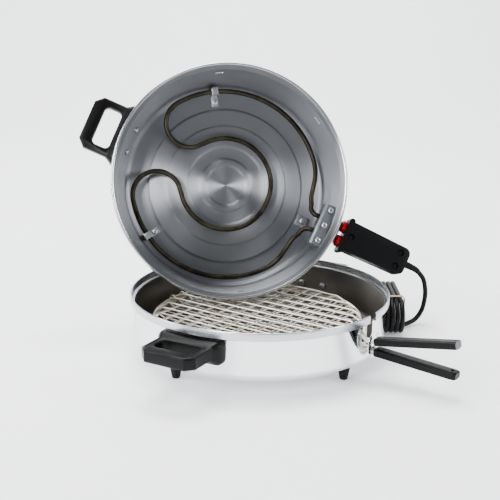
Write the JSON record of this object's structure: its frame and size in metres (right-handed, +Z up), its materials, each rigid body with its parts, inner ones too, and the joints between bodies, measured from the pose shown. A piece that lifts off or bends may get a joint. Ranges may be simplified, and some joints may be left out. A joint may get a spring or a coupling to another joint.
{
  "type": "electric cabinet smoker",
  "caption": "Round tabletop electric grill or smoker pan with feet and side handles, hinged wire basket with long grips, and a loose lid with heating element, connector and cord.",
  "frame": {"origin": "on the pan axis, on the underside of the pan floor, 16 mm above the table", "axes": "+Z up along the pan axis, +Y towards the leaning lid, +X to the side with the connector"},
  "size_m": [0.433, 0.4149, 0.3233],
  "materials": {
    "pan_aluminium": "polished outside, brushed inside",
    "lid_aluminium": "brushed in rings",
    "black_rubber": "matt",
    "zinc_steel": "zinc plated",
    "black_bakelite": "moulded, half gloss",
    "tinned_wire": "tinned",
    "bright_plate": "plated",
    "element_sheath": "heat darkened",
    "terminal_block": "matt ceramic look",
    "contact_brass": "plain",
    "connector_plastic": "fine texture",
    "red_insulator": "moulded",
    "cord_sheath": "satin",
    "elastic_band": "matt"
  },
  "bodies": {
    "pan": {"foot_1": "black_rubber", "foot_2": "black_rubber", "foot_3": "black_rubber", "foot_4": "black_rubber", "pan_handle_front": "black_bakelite", "pan_handle_front_screw_1": "zinc_steel", "pan_handle_front_screw_2": "zinc_steel", "pan_handle_rear": "black_bakelite", "pan_handle_rear_screw_1": "zinc_steel", "pan_handle_rear_screw_2": "zinc_steel", "pan_shell": "pan_aluminium"},
    "basket": {"basket_lower": "tinned_wire", "basket_arm_lower_1": "tinned_wire", "basket_arm_lower_2": "tinned_wire", "basket_rest_1": "tinned_wire", "basket_rest_2": "tinned_wire", "slot_cover": "bright_plate", "grip_lower": "black_bakelite", "basket_hinge_loop_1": "tinned_wire", "basket_hinge_loop_2": "tinned_wire"},
    "basket_top": {"basket_upper": "tinned_wire", "basket_arm_upper_1": "tinned_wire", "basket_arm_upper_2": "tinned_wire", "grip_upper": "black_bakelite"},
    "lid": {"clip_screw_1": "zinc_steel", "clip_screw_2": "zinc_steel", "contact_pin_1": "contact_brass", "contact_pin_2": "contact_brass", "earth_plate": "zinc_steel", "earth_screw": "zinc_steel", "element_clip_1": "zinc_steel", "element_clip_2": "zinc_steel", "heating_element": "element_sheath", "lid_handle": "black_bakelite", "lid_handle_screw_1": "zinc_steel", "lid_handle_screw_2": "zinc_steel", "lid_shell": "lid_aluminium", "terminal_block": "terminal_block", "terminal_screw_1": "zinc_steel", "terminal_screw_2": "zinc_steel", "terminal_screw_3": "zinc_steel"},
    "connector": {"connector_front": "connector_plastic", "connector_rear": "connector_plastic", "connector_screw_1": "zinc_steel", "connector_screw_2": "zinc_steel", "connector_screw_3": "zinc_steel", "contact_sleeve_1": "red_insulator", "contact_sleeve_2": "red_insulator", "cord_hank": "cord_sheath", "cord_run": "cord_sheath", "cord_tail": "cord_sheath", "hank_band": "elastic_band", "plug_body": "black_rubber", "plug_pin_1": "contact_brass", "plug_pin_2": "contact_brass", "strain_relief": "black_rubber"}
  },
  "joints": [
    {"name": "basket_lift", "type": "slide", "parent": "pan", "child": "basket", "axis": [0, 0, 1], "range_m": [0, 0.07]},
    {"name": "basket_open", "type": "hinge", "parent": "basket", "child": "basket_top", "pos_m": [-0.10128, 0.07224, 0.0224], "axis": [-0.5807, -0.8141, 0], "range_deg": [0, 40]},
    {"name": "lid_lift", "type": "slide", "parent": "basket", "child": "lid", "axis": [-0.0488, 0.313, 0.9485], "range_m": [0, 0.2]},
    {"name": "connector_unplug", "type": "slide", "parent": "lid", "child": "connector", "axis": [0.9046, -0.0029, -0.4262], "range_m": [0, 0.024]}
  ],
  "couplings": [
    {"joint": "basket_open", "follows": "lid_lift", "rad_per_m": 3.49}
  ]
}
